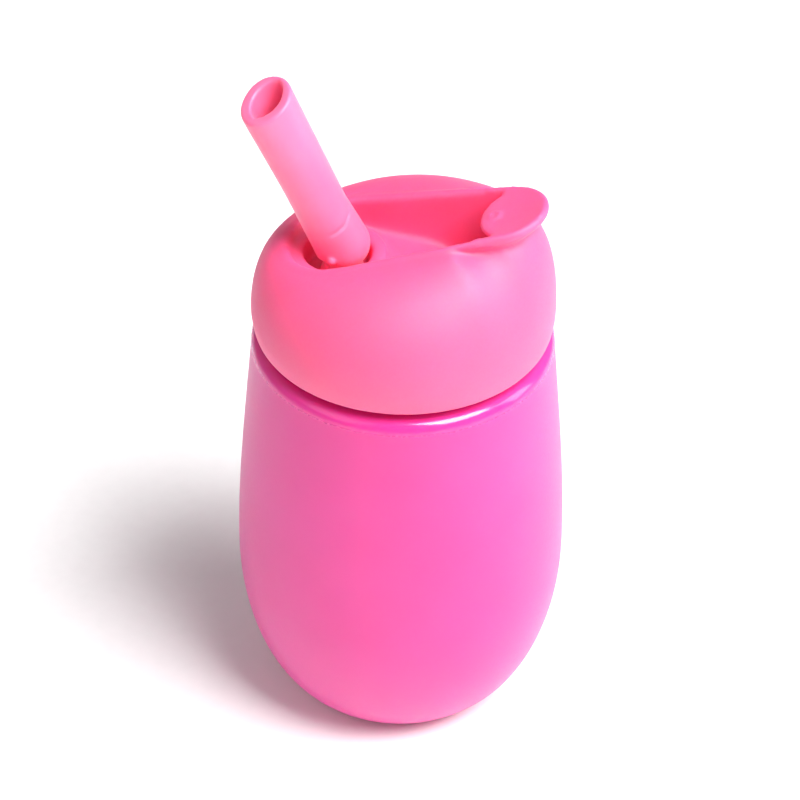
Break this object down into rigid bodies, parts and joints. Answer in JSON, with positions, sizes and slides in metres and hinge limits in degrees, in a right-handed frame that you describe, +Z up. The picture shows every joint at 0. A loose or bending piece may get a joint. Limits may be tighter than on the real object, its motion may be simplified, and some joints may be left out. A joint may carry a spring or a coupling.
{
  "type": "straw sippy cup",
  "caption": "Toddler straw cup with a frosted round-bottomed body, a screw-on domed lid and a soft straw that folds into a trough under a thumb tab.",
  "frame": {"origin": "centre of the circle that the cup stands on, on the cup's axis", "axes": "+Z up along the cup's axis, +X from the straw to the thumb tab, +Y completes the right-handed frame"},
  "size_m": [0.074, 0.074, 0.1623],
  "materials": {
    "cup_body": "frosted translucent pink polypropylene with a satin sheen",
    "lid_shell": "satin opaque pink polypropylene",
    "lid_seal": "clear translucent silicone",
    "straw_silicone": "soft light pink silicone with a satin sheen",
    "dip_tube": "natural white translucent plastic"
  },
  "bodies": {
    "cup": {"cup_body": "cup_body"},
    "seal": {"lid_seal": "lid_seal"},
    "lid": {"lid_shell": "lid_shell", "straw_boot": "straw_silicone", "dip_tube": "dip_tube"},
    "straw": {"straw_tube": "straw_silicone", "straw_tip": "straw_silicone"}
  },
  "joints": [
    {"name": "lid_lift", "type": "slide", "parent": "cup", "child": "seal", "axis": [0, 0, 1], "range_m": [0, 0.0045]},
    {"name": "lid_turn", "type": "hinge", "parent": "seal", "child": "lid", "pos_m": [0, 0, 0.1], "axis": [0, 0, 1], "range_deg": [0, 405]},
    {"name": "straw_fold", "type": "hinge", "parent": "lid", "child": "straw", "pos_m": [-0.01232, 0, 0.12411], "axis": [0.0077, 0.998, 0.0624], "range_deg": [-12, 119], "stiffness_Nm_per_rad": 0.012, "deforming": ["straw_boot", "straw_tip"]}
  ],
  "couplings": [
    {"joint": "lid_lift", "follows": "lid_turn", "m_per_rad": 0.00063662}
  ]
}
